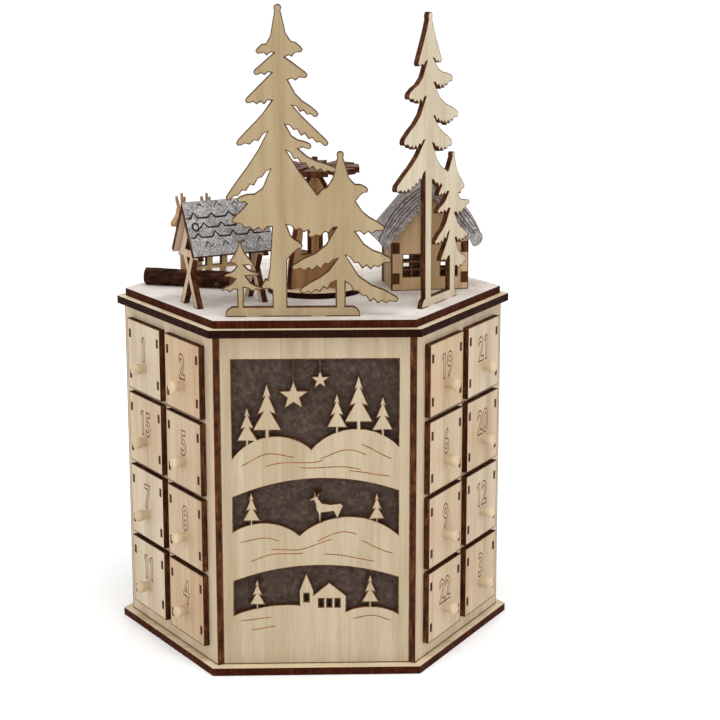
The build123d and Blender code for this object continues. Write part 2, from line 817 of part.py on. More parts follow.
def house_roof(way):
    """One slope of the house's roof, mitred at the ridge."""
    length = house_depth + house_roof_back_overhang
    eave = (way * house_roof_half_span, house_ridge - house_roof_half_span * house_fall)
    turn = radians(house_roof_pitch)
    lower = (eave[0] - way * house_roof_ply * sin(turn), eave[1] - house_roof_ply * cos(turn))
    face = polygon([(0, house_ridge), eave, lower, (0, house_ridge - house_roof_drop)])
    return on_house(Pos(0, length, 0) * upright(face, length))


def house_bargeboard():
    """Snowy board along the front of the roof, rounded above and dripping below."""
    top = (0, bargeboard_top)
    inner_top = (0, bargeboard_inner_top)
    edges = []
    for way in (-1, 1):
        end = (way * bargeboard_half_span, bargeboard_end_height)
        foot = (way * bargeboard_foot[0], bargeboard_foot[1])
        edges.append(ThreePointArc(top, (way * bargeboard_shoulder[0], bargeboard_shoulder[1]), end))
        edges.append(ThreePointArc(end, (way * bargeboard_end_bulge[0], bargeboard_end_bulge[1]), foot))
        points = [foot]
        for step in range(1, 2 * bargeboard_drips):
            share = step / (2 * bargeboard_drips)
            level = foot[1] + (inner_top[1] - foot[1]) * share
            points.append((foot[0] * (1 - share), level + bargeboard_drip * (step % 2)))
        edges.append(Polyline(*points, inner_top))
    return on_house(upright(make_face(edges), bargeboard_ply))


def on_pyramid(shape):
    """Place a shape from the pyramid's own frame, on its axis and standing on the deck."""
    return on_deck(shape, pyramid_place_shares)


pyramid_top = pyramid_base_ply + pyramid_height


def pyramid_frame(way):
    """One of the two crossed boards, halved into the other."""
    right = [(a * pyramid_half_width, b * pyramid_height) for a, b in pyramid_flank_shares]
    right.append((pyramid_top_half_width, pyramid_height))
    left = [(-a, b) for a, b in reversed(right)]
    face = polygon(right + left)
    for hand in (-1, 1):
        face -= polygon(
            [(hand * a * pyramid_half_width, b * pyramid_height) for a, b in pyramid_window_shares]
        )
    lap = pyramid_height * half_lap_share
    low, high = (lap, pyramid_height + overrun) if way > 0 else (-overrun, lap)
    face -= rectangle(-pyramid_ply / 2, low, pyramid_ply / 2, high)
    board = Pos(0, pyramid_ply / 2, pyramid_base_ply) * upright(face, pyramid_ply)
    return on_pyramid(Rot(0, 0, way * frame_turn) * board)


def standing_cylinder(radius, height, bottom):
    """Upright cylinder from a given height."""
    return Pos(0, 0, bottom) * Cylinder(radius, height, align=(Align.CENTER, Align.CENTER, Align.MIN))


def pyramid_spindle():
    """Turned spindle with a flange that sits on the crossed boards."""
    flange = standing_cylinder(spindle_flange_radius, spindle_flange_height, pyramid_top)
    shaft = standing_cylinder(spindle_radius, spindle_length, pyramid_top + spindle_flange_height)
    return on_pyramid(flange + shaft)


def pyramid_wheel():
    """Flat wheel of paddle blades that turns on the spindle."""
    pitch = 2 * half_turn / blade_count
    points = []
    for blade in range(blade_count):
        for radius, share in (
            (wheel_hub_radius, -blade_root_share), (wheel_radius, -blade_tip_share),
            (wheel_radius, blade_tip_share), (wheel_hub_radius, blade_root_share),
        ):
            turn = radians(pitch * (blade + share))
            points.append((radius * cos(turn), radius * sin(turn)))
    face = polygon(points) - Circle(spindle_radius + wheel_clearance)
    bottom = pyramid_top + spindle_flange_height + wheel_lift
    return on_pyramid(Pos(0, 0, bottom) * extrude(face, amount=wheel_ply))


def save(name, pieces):
    """Write one node, as a single solid or as a group of separate solids."""
    solids = [solid for piece in pieces for solid in piece.solids()]
    export_step(solids[0] if len(solids) == 1 else Compound(children=solids), f"parts/{name}.step")


def main():
    """Build every node and write it."""
    os.makedirs("parts", exist_ok=True)
    save("base_plate", [hexagon(base_edge, base_ply, 0)])
    save("cornice_plate", [hexagon(cornice_edge, cornice_ply, body_top)])
    save("snow_plate", [snow_plate()])
    wall = drawer_wall()
    for name, number in drawer_sides.items():
        save(f"drawer_wall_{name}", [on_face(wall, number)])
        for row in range(row_count):
            for column, day in zip((-1, 1), day_names[name][row_count - 1 - row]):
                pieces = [on_face(piece, number) for piece in drawer_pieces(row, column)]
                save(f"drawer_{day}", pieces)
    panel = fret_panel()
    for name, number in panel_sides.items():
        save(f"fret_panel_{name}", [on_face(panel, number)])
    save("panel_backings", [on_face(backing(), number) for number in panel_sides.values()])
    save("column_dividers", [on_face(divider(), number) for number in drawer_sides.values()])
    for row in range(row_count):
        save(f"shelf_{row + 1}", [shelf(row)])
    save("front_tree_board", [front_tree_board()])
    save("right_tree_board", [right_tree_board()])
    save("manger_trestle_left", [trestle(0)])
    save("manger_trestle_right", [trestle(trestle_spacing)])
    save("manger_rack", [hay_rack()])
    save("manger_roof_front", [manger_roof(-1)])
    save("manger_roof_back", [manger_roof(1)])
    save("stags", stags())
    save("log", [log()])
    save("house_front_wall", [house_front_wall()])
    save("house_back_wall", [house_back_wall()])
    save("house_side_walls", house_side_walls())
    save("house_roof_left", [house_roof(-1)])
    save("house_roof_right", [house_roof(1)])
    save("house_bargeboard", [house_bargeboard()])
    save("pyramid_base", [on_pyramid(standing_cylinder(pyramid_base_radius, pyramid_base_ply, 0))])
    save("pyramid_frame_left", [pyramid_frame(-1)])
    save("pyramid_frame_right", [pyramid_frame(1)])
    save("pyramid_spindle", [pyramid_spindle()])
    save("pyramid_wheel", [pyramid_wheel()])


main()
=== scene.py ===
import json
import math

import bmesh
import bpy
from mathutils import Matrix, Vector, noise

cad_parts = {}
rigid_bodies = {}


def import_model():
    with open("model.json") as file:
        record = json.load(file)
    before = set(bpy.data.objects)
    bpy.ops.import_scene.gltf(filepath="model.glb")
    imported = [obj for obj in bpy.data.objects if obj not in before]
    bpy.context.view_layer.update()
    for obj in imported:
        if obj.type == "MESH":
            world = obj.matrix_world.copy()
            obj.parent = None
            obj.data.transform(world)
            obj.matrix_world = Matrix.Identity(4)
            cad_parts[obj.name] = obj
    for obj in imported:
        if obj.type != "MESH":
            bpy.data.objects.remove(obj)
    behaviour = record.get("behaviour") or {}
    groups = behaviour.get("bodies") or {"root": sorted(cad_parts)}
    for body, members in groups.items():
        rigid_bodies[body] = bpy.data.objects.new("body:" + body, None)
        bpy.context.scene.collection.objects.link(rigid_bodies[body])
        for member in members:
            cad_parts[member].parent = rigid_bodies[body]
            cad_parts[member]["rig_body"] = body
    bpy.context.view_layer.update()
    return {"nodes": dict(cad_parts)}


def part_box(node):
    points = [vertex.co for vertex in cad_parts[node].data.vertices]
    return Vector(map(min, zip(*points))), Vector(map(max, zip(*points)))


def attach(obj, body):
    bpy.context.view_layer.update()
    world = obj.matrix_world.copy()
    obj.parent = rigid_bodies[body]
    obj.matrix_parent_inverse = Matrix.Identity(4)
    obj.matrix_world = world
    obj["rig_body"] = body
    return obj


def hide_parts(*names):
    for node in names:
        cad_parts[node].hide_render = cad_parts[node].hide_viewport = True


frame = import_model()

MM = 0.001

# Places in the frame that the CAD fixes, in mm and degrees
FACE_TURN = 60.0
FRONT_PLY = 3.0
KNOB_LENGTH = 7.0
KNOB_DROP = 5.0
TAB_PLACES = [(x, z) for x in (-16.05, 16.05) for z in (-11.05, 11.05)]
TAB_HALF_WIDTH = 1.25
TAB_HALF_HEIGHT = 2.3
DRAWER_SIDE_TOP = 15.0
SHELF_COUNT = 4
DIVIDER_TURNS = (60, 180, 300)
DECK = 183.0
MANGER_PLACE = (-61.9, -48.0)
MANGER_TURN = 27.0
MANGER_ROOF = {"half_span": 14.0, "ridge": 53.0, "eave": 27.5, "start": -4.5, "end": 40.5}
HOUSE_PLACE = (61.4, -11.0)
HOUSE_TURN = 7.8
HOUSE_ROOF = {"half_span": 28.0, "ridge": 59.0, "pitch": 49.0, "length": 33.0}
PYRAMID_TURN = 45
STAG_TURN = 63.0
STAG_PLY = 3.0
STAG_HEIGHT = 47.5
LOG_PLACE = (-89.0, 10.0)
LOG_TURN = -16.8
LOG_RADIUS = 4.8
LOG_LENGTH = 48.0
WINDOW_HALF_WIDTH = 41.3
WINDOW_HEIGHT = 147.0
WINDOW_BOTTOM = 16.0
SIDES = {"front": 0, "right": 1, "back_right": 2, "back": 3, "back_left": 4, "left": 5}
PANEL_SIDES = ("front", "back_right", "back_left")
DAYS = {
    "left": [(1, 2), (15, 5), (7, 8), (11, 4)],
    "right": [(19, 21), (6, 20), (9, 12), (22, 3)],
    "back": [(10, 17), (24, 13), (16, 23), (18, 14)],
}

# Least cosines between a face's normal and the way that it counts as facing
FACING = 0.9
FLAT_FACING = 0.99
# Places that agree to this many parts of a metre are one place
PLACE_PARTS = 1e6


# Colours

SCREEN_WHITE = 255
SRGB_KNEE = 0.04045
SRGB_SLOPE = 12.92
SRGB_OFFSET = 0.055
SRGB_POWER = 2.4


def linear(colour):
    """Scene colour of a colour given as it looks on screen, 0 to 255."""
    parts = []
    for value in colour:
        share = value / SCREEN_WHITE
        if share <= SRGB_KNEE:
            parts.append(share / SRGB_SLOPE)
        else:
            parts.append(((share + SRGB_OFFSET) / (1 + SRGB_OFFSET)) ** SRGB_POWER)
    return (*parts, 1.0)


def darker(colour, share):
    """A share of a scene colour."""
    return (*[part * share for part in colour[:3]], 1.0)


# Materials


class Shade:
    """A material's node tree, with short ways to add the nodes that the finishes share."""

    def __init__(self, name, roughness, specular=0.3):
        self.material = bpy.data.materials.new(name)
        self.material.use_nodes = True
        self.nodes = self.material.node_tree.nodes
        self.links = self.material.node_tree.links
        self.shader = self.nodes["Principled BSDF"]
        self.shader.inputs["Roughness"].default_value = roughness
        self.shader.inputs["Specular IOR Level"].default_value = specular
        self.coords = self.nodes.new("ShaderNodeTexCoord").outputs["Object"]

    def stretched(self, scales):
        """Object coordinates in metres, stretched along each axis."""
        mapping = self.nodes.new("ShaderNodeMapping")
        mapping.inputs["Scale"].default_value = scales
        self.links.new(self.coords, mapping.inputs["Vector"])
        return mapping.outputs["Vector"]

    def noise(self, scales, detail, rough=0.55, distortion=0.0):
        """Noise drawn on stretched coordinates."""
        node = self.nodes.new("ShaderNodeTexNoise")
        node.inputs["Scale"].default_value = 1.0
        node.inputs["Detail"].default_value = detail
        node.inputs["Roughness"].default_value = rough
        node.inputs["Distortion"].default_value = distortion
        self.links.new(self.stretched(scales), node.inputs["Vector"])
        return node.outputs["Fac"]

    def cells(self, scales):
        """Distance to the nearest of many scattered points."""
        node = self.nodes.new("ShaderNodeTexVoronoi")
        node.inputs["Scale"].default_value = 1.0
        self.links.new(self.stretched(scales), node.inputs["Vector"])
        return node.outputs["Distance"]

    def ramp(self, source, stops):
        """Colours along a value."""
        node = self.nodes.new("ShaderNodeValToRGB")
        elements = node.color_ramp.elements
        while len(elements) < len(stops):
            elements.new(0.5)
        for element, (place, colour) in zip(elements, stops):
            element.position = place
            element.color = colour
        self.links.new(source, node.inputs["Fac"])
        return node.outputs["Color"]

    def levels(self, source, low, high, start, end):
        """Value stretched from one range to another."""
        node = self.nodes.new("ShaderNodeMapRange")
        for key, value in (("From Min", low), ("From Max", high), ("To Min", start), ("To Max", end)):
            node.inputs[key].default_value = value
        self.links.new(source, node.inputs["Value"])
        return node.outputs["Result"]

    def mix(self, share, first, second, blend):
        """Two colours mixed by a fixed share, or by one that varies over the surface."""
        node = self.nodes.new("ShaderNodeMix")
        node.data_type = "RGBA"
        node.blend_type = blend
        if isinstance(share, float):
            node.inputs["Factor"].default_value = share
        else:
            self.links.new(share, node.inputs["Factor"])
        for value, key in ((first, "A"), (second, "B")):
            socket = [s for s in node.inputs if s.name == key and s.type == "RGBA"][0]
            if isinstance(value, tuple):
                socket.default_value = value
            else:
                self.links.new(value, socket)
        return [s for s in node.outputs if s.type == "RGBA"][0]

    def tinted(self, colour, source, share, *stops):
        """Colour multiplied by tints along a value, as far as a share."""
        tints = self.ramp(source, [(place, (*tint, 1.0)) for place, tint in stops])
        return self.mix(share, colour, tints, "MULTIPLY")

    def covered(self, colour, source, low, high, most, over):
        """Colour covered by another as a value goes from low to high, up to a share."""
        return self.mix(self.levels(source, low, high, 0.0, most), colour, over, "MIX")

    def bump(self, height, strength, distance):
        """Relief from a height."""
        node = self.nodes.new("ShaderNodeBump")
        node.inputs["Strength"].default_value = strength
        node.inputs["Distance"].default_value = distance
        self.links.new(height, node.inputs["Height"])
        self.links.new(node.outputs["Normal"], self.shader.inputs["Normal"])

    def finish(self, colour, roughness=None):
        """Colour and roughness into the shader."""
        self.links.new(colour, self.shader.inputs["Base Color"])
        if roughness is not None:
            self.links.new(roughness, self.shader.inputs["Roughness"])
        return self.material


BIRCH_ROUGHNESS = 0.62
# Stretch of the wood's grain along each axis, and the least that its flecks have
UPRIGHT_GRAIN = (1.0, 1.0, 0.045)
FLAT_GRAIN = (0.045, 1.0, 1.0)
FLECK_STRETCH = 0.16
# Grains in a metre across the grain
FINE_GRAINS = 1500
GRAIN_BANDS = 130
FLECKS = 2300


def scaled(grain, frequency):
    """Stretched coordinates with a given number of grains in a metre across the grain."""
    return tuple(frequency * part for part in grain)


def birch(name, pale, mid, deep, grain=UPRIGHT_GRAIN):
    """Bare birch veneer: fine grain, broad bands of colour, short flecks and a dull sheen."""
    shade = Shade(name, BIRCH_ROUGHNESS)
    fine = shade.noise(scaled(grain, FINE_GRAINS), detail=5.0)
    bands = shade.noise(scaled(grain, GRAIN_BANDS), detail=3.0, distortion=0.6)
    cloud = shade.noise((34, 34, 26), detail=2.0)
    fleck = shade.noise(tuple(FLECKS * max(part, FLECK_STRETCH) for part in grain), detail=1.0)
    colour = shade.ramp(bands, [(0.30, deep), (0.52, mid), (0.74, pale)])
    colour = shade.tinted(colour, fine, 0.55, (0.28, (0.80, 0.77, 0.72)), (0.62, (1.04, 1.04, 1.04)))
    colour = shade.tinted(colour, cloud, 0.7, (0.35, (0.93, 0.90, 0.86)), (0.65, (1.04, 1.04, 1.05)))
    colour = shade.covered(colour, fleck, low=0.66, high=0.76, most=0.32, over=darker(deep, 0.62))
    shade.bump(fine, strength=0.18, distance=0.0002)
    sheen = shade.levels(fine, low=0.3, high=0.7, start=BIRCH_ROUGHNESS - 0.08, end=BIRCH_ROUGHNESS + 0.12)
    return shade.finish(colour, sheen)


def flat_birch(name, pale, mid, deep):
    """Birch of a lying board."""
    return birch(name, pale, mid, deep, FLAT_GRAIN)


def burnt(name, dark, light):
    """Laser-cut edge of plywood: charred, with paler glue lines and streaks."""
    shade = Shade(name, roughness=0.72, specular=0.05)
    streak = shade.noise((700, 700, 90), detail=4.0)
    spots = shade.noise((160, 160, 220), detail=3.0)
    halfway = tuple((a + b) / 2 for a, b in zip(dark, light))
    colour = shade.ramp(streak, [(0.34, dark), (0.62, halfway), (0.8, light)])
    colour = shade.covered(colour, spots, low=0.42, high=0.62, most=0.7, over=dark)
    shade.bump(streak, strength=0.35, distance=0.0003)
    return shade.finish(colour, shade.levels(spots, low=0.3, high=0.7, start=0.6, end=0.85))


PAINTED_GLINT_WHITE = (236, 236, 238)


def glitter(name, pale, mid, dark):
    """Silver glitter paint: a dull grey ground under flecks, with painted glints where they catch the light
    and painted shade where they fall into shade.
    """
    shade = Shade(name, roughness=0.45, specular=0.5)
    ground = shade.noise((260, 260, 260), detail=5.0)
    flecks = shade.cells((900, 900, 900))
    grit = shade.noise((1900, 1900, 1900), detail=2.0)
    colour = shade.ramp(ground, [(0.32, dark), (0.5, mid), (0.68, pale)])
    # Painted glints in white where the grit is high, painted shade in a darker grey where it is low
    colour = shade.covered(colour, grit, low=0.56, high=0.68, most=0.75, over=linear(PAINTED_GLINT_WHITE))
    colour = shade.covered(colour, grit, low=0.43, high=0.34, most=0.8, over=darker(dark, 0.45))
    shade.bump(flecks, strength=0.6, distance=0.0006)
    return shade.finish(colour, shade.levels(grit, low=0.35, high=0.65, start=0.65, end=0.25))


def snow(name, dark, mid, pale):
    """Matt white paint with a rosy cast, brushed on and a little uneven."""
    shade = Shade(name, roughness=0.8, specular=0.2)
    ground = shade.noise((55, 55, 55), detail=5.0)
    grit = shade.noise((1300, 1300, 1300), detail=3.0)
    colour = shade.ramp(ground, [(0.3, dark), (0.5, mid), (0.7, pale)])
    colour = shade.tinted(colour, grit, 0.75, (0.34, (0.74, 0.70, 0.70)), (0.56, (1.05, 1.05, 1.05)))
    shade.bump(grit, strength=0.5, distance=0.0005)
    return shade.finish(colour, shade.levels(grit, low=0.3, high=0.7, start=0.7, end=0.92))


def felt(name, dark, mid, pale):
    """Dark card behind the fretwork, with a fine mottled texture."""
    shade = Shade(name, roughness=0.85, specular=0.15)
    ground = shade.noise((420, 420, 420), detail=5.0, rough=0.7)
    cloud = shade.noise((45, 45, 30), detail=2.0)
    colour = shade.ramp(ground, [(0.3, dark), (0.52, mid), (0.72, pale)])
    colour = shade.tinted(colour, cloud, 0.8, (0.35, (0.85, 0.83, 0.82)), (0.65, (1.05, 1.05, 1.06)))
    shade.bump(ground, strength=0.4, distance=0.0004)
    return shade.finish(colour, shade.levels(ground, low=0.3, high=0.7, start=0.75, end=0.95))


def bark(name, dark, mid, pale, lichen):
    """Rough dark bark, ridged along the log, with pale lichen."""
    shade = Shade(name, roughness=0.85, specular=0.05)
    ridges = shade.noise((90, 420, 420), detail=6.0, rough=0.65)
    patches = shade.noise((170, 170, 170), detail=3.0)
    colour = shade.ramp(ridges, [(0.33, dark), (0.52, mid), (0.7, pale)])
    colour = shade.covered(colour, patches, low=0.62, high=0.72, most=0.4, over=lichen)
    shade.bump(ridges, strength=0.9, distance=0.0008)
    return shade.finish(colour, shade.levels(ridges, low=0.3, high=0.7, start=0.95, end=0.7))


def end_grain(name, dark, light):
    """Sawn end of the log."""
    shade = Shade(name, roughness=0.75, specular=0.2)
    rings = shade.noise((900, 900, 900), detail=3.0)
    cloud = shade.noise((300, 300, 300), detail=2.0)
    colour = shade.ramp(rings, [(0.35, dark), (0.65, light)])
    colour = shade.tinted(colour, cloud, 0.6, (0.35, (0.8, 0.78, 0.76)), (0.65, (1.0, 1.0, 1.0)))
    shade.bump(rings, strength=0.5, distance=0.0004)
    return shade.finish(colour)


def engraving(name, dark, light):
    """Laser line: scorched brown that varies along its way."""
    shade = Shade(name, roughness=0.75, specular=0.15)
    depth = shade.noise((500, 500, 500), detail=3.0)
    colour = shade.ramp(depth, [(0.35, dark), (0.65, light)])
    shade.bump(depth, strength=0.3, distance=0.0002)
    return shade.finish(colour, shade.levels(depth, low=0.3, high=0.7, start=0.65, end=0.85))


# Each finish with the function that makes it and its colours on screen
FINISHES = {
    "panel_birch": (birch, (186, 172, 149), (178, 162, 136), (165, 148, 120)),
    "wall_birch": (birch, (198, 182, 158), (190, 172, 146), (176, 158, 130)),
    "warm_birch": (birch, (192, 168, 140), (184, 159, 129), (168, 141, 110)),
    "even_birch": (birch, (194, 174, 148), (186, 165, 138), (170, 147, 119)),
    "pale_birch": (birch, (198, 183, 161), (190, 174, 151), (175, 157, 132)),
    "knob_birch": (birch, (207, 190, 162), (198, 179, 149), (183, 160, 128)),
    "inner_birch": (birch, (206, 182, 146), (194, 168, 130), (174, 146, 108)),
    "front_tree_birch": (birch, (166, 149, 116), (158, 139, 107), (147, 127, 93)),
    "right_tree_birch": (birch, (200, 188, 167), (192, 180, 156), (178, 163, 138)),
    "manger_birch": (birch, (190, 168, 146), (180, 157, 134), (164, 139, 114)),
    "house_birch": (birch, (200, 172, 134), (186, 157, 119), (166, 136, 98)),
    # Birch with painted shade: dark brown for the pyramid, which stands in shade behind the front trees
    "pyramid_birch": (birch, (178, 140, 96), (158, 120, 80), (132, 96, 62)),
    "plate_birch": (flat_birch, (220, 204, 178), (208, 190, 160), (188, 166, 134)),
    # Birch drawn dark brown for the pyramid's wheel
    "wheel_stain": (flat_birch, (118, 82, 58), (92, 60, 42), (66, 40, 28)),
    "burnt_edge": (burnt, (44, 20, 10), (124, 76, 44)),
    "plate_edge": (burnt, (46, 16, 5), (90, 41, 17)),
    # Charred plywood edge with painted shade: darker than plate_edge, for the cornice's edge under the
    # overhang and the pyramid's base ring
    "cornice_edge": (burnt, (26, 8, 4), (54, 26, 15)),
    "stag_edge": (burnt, (148, 114, 82), (196, 166, 132)),
    "tab_end": (burnt, (48, 24, 14), (110, 70, 46)),
    "snow_paint": (snow, (189, 179, 171), (208, 201, 193), (220, 215, 208)),
    "dark_card": (felt, (44, 33, 27), (71, 57, 49), (98, 84, 75)),
    "manger_glitter": (glitter, (164, 162, 161), (138, 134, 133), (101, 97, 95)),
    "house_glitter": (glitter, (158, 149, 144), (131, 122, 118), (91, 84, 80)),
    "log_bark": (bark, (16, 7, 4), (46, 24, 14), (86, 54, 36), (132, 104, 84)),
    "log_end": (end_grain, (74, 42, 26), (126, 84, 56)),
    "hill_line": (engraving, (108, 62, 24), (154, 100, 48)),
    "number_line": (engraving, (56, 24, 8), (98, 52, 22)),
    "scorch_line": (engraving, (56, 35, 21), (106, 74, 47)),
    "roof_line": (engraving, (34, 30, 30), (66, 60, 60)),
    "shingle_line": (engraving, (20, 17, 17), (46, 41, 41)),
}
looks = {name: make(name, *map(linear, colours)) for name, (make, *colours) in FINISHES.items()}


# Directions and places

UP = Vector((0, 0, 1))


def turned(degrees):
    """Turn about the upright axis."""
    return Matrix.Rotation(math.radians(degrees), 4, "Z")


def turned_x(degrees):
    """The x axis of a turned frame."""
    return turned(degrees) @ Vector((1, 0, 0))


def turned_y(degrees):
    """The y axis of a turned frame."""
    return turned(degrees) @ Vector((0, 1, 0))


def side_turn(side):
    """From the front of the body to one of its six sides."""
    return turned(FACE_TURN * SIDES[side])


def outward(side):
    """Direction in which a side of the body faces."""
    return side_turn(side) @ Vector((0, -1, 0))


def on_deck(place, turn):
    """From a frame on the deck, in mm, to the row frame in metres."""
    move = Matrix.Translation(Vector((place[0], place[1], DECK)) * MM)
    return move @ turned(turn) @ Matrix.Scale(MM, 4)


def local_box(node, matrix):
    """Corners of a CAD node as seen in a turned frame, in metres."""
    back = matrix.inverted()
    points = [back @ v.co for v in frame["nodes"][node].data.vertices]
    low = Vector(min(p[i] for p in points) for i in range(3))
    high = Vector(max(p[i] for p in points) for i in range(3))
    return low, high


def between(start, end, steps):
    """Evenly spaced values from start to end."""
    return [start + (end - start) * step / steps for step in range(steps + 1)]


def around(steps):
    """Evenly spaced angles of a full turn."""
    return [2 * math.pi * step / steps for step in range(steps)]


# CAD nodes: faces of the boards against their burnt edges


def paint(node, names, choose):
    """Give a CAD node its finishes, one of them to each polygon."""
    mesh = frame["nodes"][node].data
    mesh.materials.clear()
    for name in names:
        mesh.materials.append(looks[name])
    for polygon in mesh.polygons:
        polygon.material_index = choose(polygon)


def board(node, face, edge, *axes):
    """Boards that face along the given axes."""
    paint(node, [face, edge], lambda p: 0 if any(abs(p.normal.dot(axis)) > FACING for axis in axes) else 1)


def roofing(node, coat, wood, axis):
    """Roof board with its paint on the outer side and bare wood below."""

    def choose(polygon):
        facing = polygon.normal.dot(axis)
        if facing > FACING:
            return 0
        return 1 if facing < -FACING else 2

    paint(node, [coat, wood, "burnt_edge"], choose)


def roof_axis(half_span, rise, across):
    """Direction in which a roof's slope faces, in its own frame."""
    return (across * rise + UP * half_span).normalized()


manger_x = turned_x(MANGER_TURN)
house_y = turned_y(HOUSE_TURN)
stag_axis = turned_y(STAG_TURN)
board("base_plate", "plate_birch", "plate_edge", UP)
board("cornice_plate", "plate_birch", "cornice_edge", UP)
board("snow_plate", "snow_paint", "plate_edge", UP)
for row in range(1, SHELF_COUNT + 1):
    board(f"shelf_{row}", "plate_birch", "burnt_edge", UP)
for side in DAYS:
    board(f"drawer_wall_{side}", "wall_birch", "burnt_edge", outward(side))
for side in PANEL_SIDES:
    board(f"fret_panel_{side}", "panel_birch", "burnt_edge", outward(side))
board("panel_backings", "dark_card", "dark_card", UP)
board("column_dividers", "inner_birch", "burnt_edge", *[turned_x(turn) for turn in DIVIDER_TURNS])
board("front_tree_board", "front_tree_birch", "burnt_edge", outward("front"))
board("right_tree_board", "right_tree_birch", "burnt_edge", outward("right"))
board("manger_trestle_left", "manger_birch", "burnt_edge", manger_x)
board("manger_trestle_right", "manger_birch", "burnt_edge", manger_x)
board("manger_rack", "house_birch", "burnt_edge", turned_y(MANGER_TURN))
board("stags", "manger_birch", "stag_edge", stag_axis)
board("house_front_wall", "house_birch", "burnt_edge", house_y)
board("house_back_wall", "house_birch", "burnt_edge", house_y)
board("house_side_walls", "house_birch", "burnt_edge", turned_x(HOUSE_TURN))
board("house_bargeboard", "house_glitter", "burnt_edge", house_y)
board("pyramid_base", "plate_birch", "cornice_edge", UP)
board("pyramid_frame_left", "pyramid_birch", "burnt_edge", turned_y(-PYRAMID_TURN))
board("pyramid_frame_right", "pyramid_birch", "burnt_edge", turned_y(PYRAMID_TURN))
board("pyramid_spindle", "pyramid_birch", "burnt_edge", UP)
board("pyramid_wheel", "wheel_stain", "burnt_edge", UP)
board("log", "log_bark", "log_end", UP)

manger_rise = MANGER_ROOF["ridge"] - MANGER_ROOF["eave"]
for name, way in (("front", -1), ("back", 1)):
    axis = turned(MANGER_TURN) @ roof_axis(MANGER_ROOF["half_span"], manger_rise, Vector((0, way, 0)))
    roofing(f"manger_roof_{name}", "manger_glitter", "manger_birch", axis)
house_fall = math.tan(math.radians(HOUSE_ROOF["pitch"]))
for name, way in (("left", -1), ("right", 1)):
    axis = turned(HOUSE_TURN) @ roof_axis(1.0, house_fall, Vector((way, 0, 0)))
    roofing(f"house_roof_{name}", "house_glitter", "house_birch", axis)


# Pieces in mesh code

SCORCH_LIFT = 0.02
SCORCH_LEAST_SPREAD = 0.35
LINE_LIFT = 0.03
LINE_END_SHARE = 0.35


def piece(name, vertices, faces, look, body, smooth=False):
    """New mesh piece that rides on a body."""
    mesh = bpy.data.meshes.new(name)
    mesh.from_pydata([tuple(v) for v in vertices], [], faces)
    mesh.validate()
    mesh.materials.append(looks[look])
    if smooth:
        for polygon in mesh.polygons:
            polygon.use_smooth = True
    made = bpy.data.objects.new(name, mesh)
    bpy.context.scene.collection.objects.link(made)
    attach(made, body)
    return made


def place_key(point):
    """A place as whole numbers, so that corners which meet have one key."""
    return tuple(round(part * PLACE_PARTS) for part in point)


def face_edges(node, normal, reach):
    """Edges around the flat faces that look along a normal and lie within a reach along it."""
    mesh = frame["nodes"][node].data
    once = {}
    for polygon in mesh.polygons:
        if polygon.normal.dot(normal) < FLAT_FACING or polygon.center.dot(normal) > reach:
            continue
        corners = [mesh.vertices[i].co for i in polygon.vertices]
        for first, second in zip(corners, corners[1:] + corners[:1]):
            ends = place_key(first), place_key(second)
            if ends[::-1] in once:
                del once[ends[::-1]]
            else:
                once[ends] = (first.copy(), second.copy())
    return once


def scorch(node, normal, width, reach=math.inf):
    """Thin scorched line that the laser leaves around every face of a board."""
    edges = face_edges(node, normal, reach)
    inward = {}
    for (start, end), (first, second) in edges.items():
        inner = normal.cross((second - first).normalized())
        for key in (start, end):
            inward.setdefault(key, []).append(inner)
    vertices = []
    faces = []
    raise_by = normal * SCORCH_LIFT * MM
    for (start, end), (first, second) in edges.items():
        corners = []
        for key, point in ((start, first), (end, second)):
            mean = sum(inward[key], Vector()) / len(inward[key])
            spread = max(mean.dot(inward[key][0]), SCORCH_LEAST_SPREAD)
            outer = point + raise_by
            corners.append((outer, outer + mean.normalized() * width * MM / spread))
        base = len(vertices)
        vertices += [corners[0][0], corners[1][0], corners[1][1], corners[0][1]]
        faces.append((base, base + 1, base + 2, base + 3))
    body = frame["nodes"][node]["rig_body"]
    return piece(f"scorch_{node}", vertices, faces, "scorch_line", body)


def ribbon_mesh(lines, matrix, width, lift):
    """Flat tapering strips along lines drawn in x and z on the plane y = 0, carried by a matrix."""
    vertices = []
    faces = []
    for line in lines:
        count = len(line)
        base = len(vertices)
        for i, (x, z) in enumerate(line):
            before = line[max(i - 1, 0)]
            after = line[min(i + 1, count - 1)]
            along = Vector((after[0] - before[0], 0, after[1] - before[1])).normalized()
            across = Vector((-along.z, 0, along.x))
            thin = LINE_END_SHARE if i in (0, count - 1) else 1.0
            for way in (-1, 1):
                vertices.append(matrix @ (Vector((x, -lift, z)) + across * way * width * thin / 2))
        for i in range(count - 1):
            a = base + 2 * i
            faces.append((a, a + 1, a + 3, a + 2))
    return vertices, faces


def ribbons(name, lines, matrix, width, look, lift=LINE_LIFT):
    """Engraved lines on the cabinet as one piece."""
    vertices, faces = ribbon_mesh(lines, matrix, width, lift)
    piece(name, vertices, faces, look, "cabinet")


# Drawers: fronts, tab ends, inner boards, knobs and numbers

# Radius of the knob and its reach from the front
KNOB_PROFILE = [
    (1.90, 0.00), (1.92, 0.35), (2.10, 1.00), (2.40, 2.00), (2.72, 3.00), (2.98, 4.00), (3.12, 4.80),
    (3.06, 5.50), (2.80, 6.20), (2.40, 6.70), (1.90, 6.96), (1.00, 7.03), (0.00, 7.05),
]
KNOB_STEPS = 28


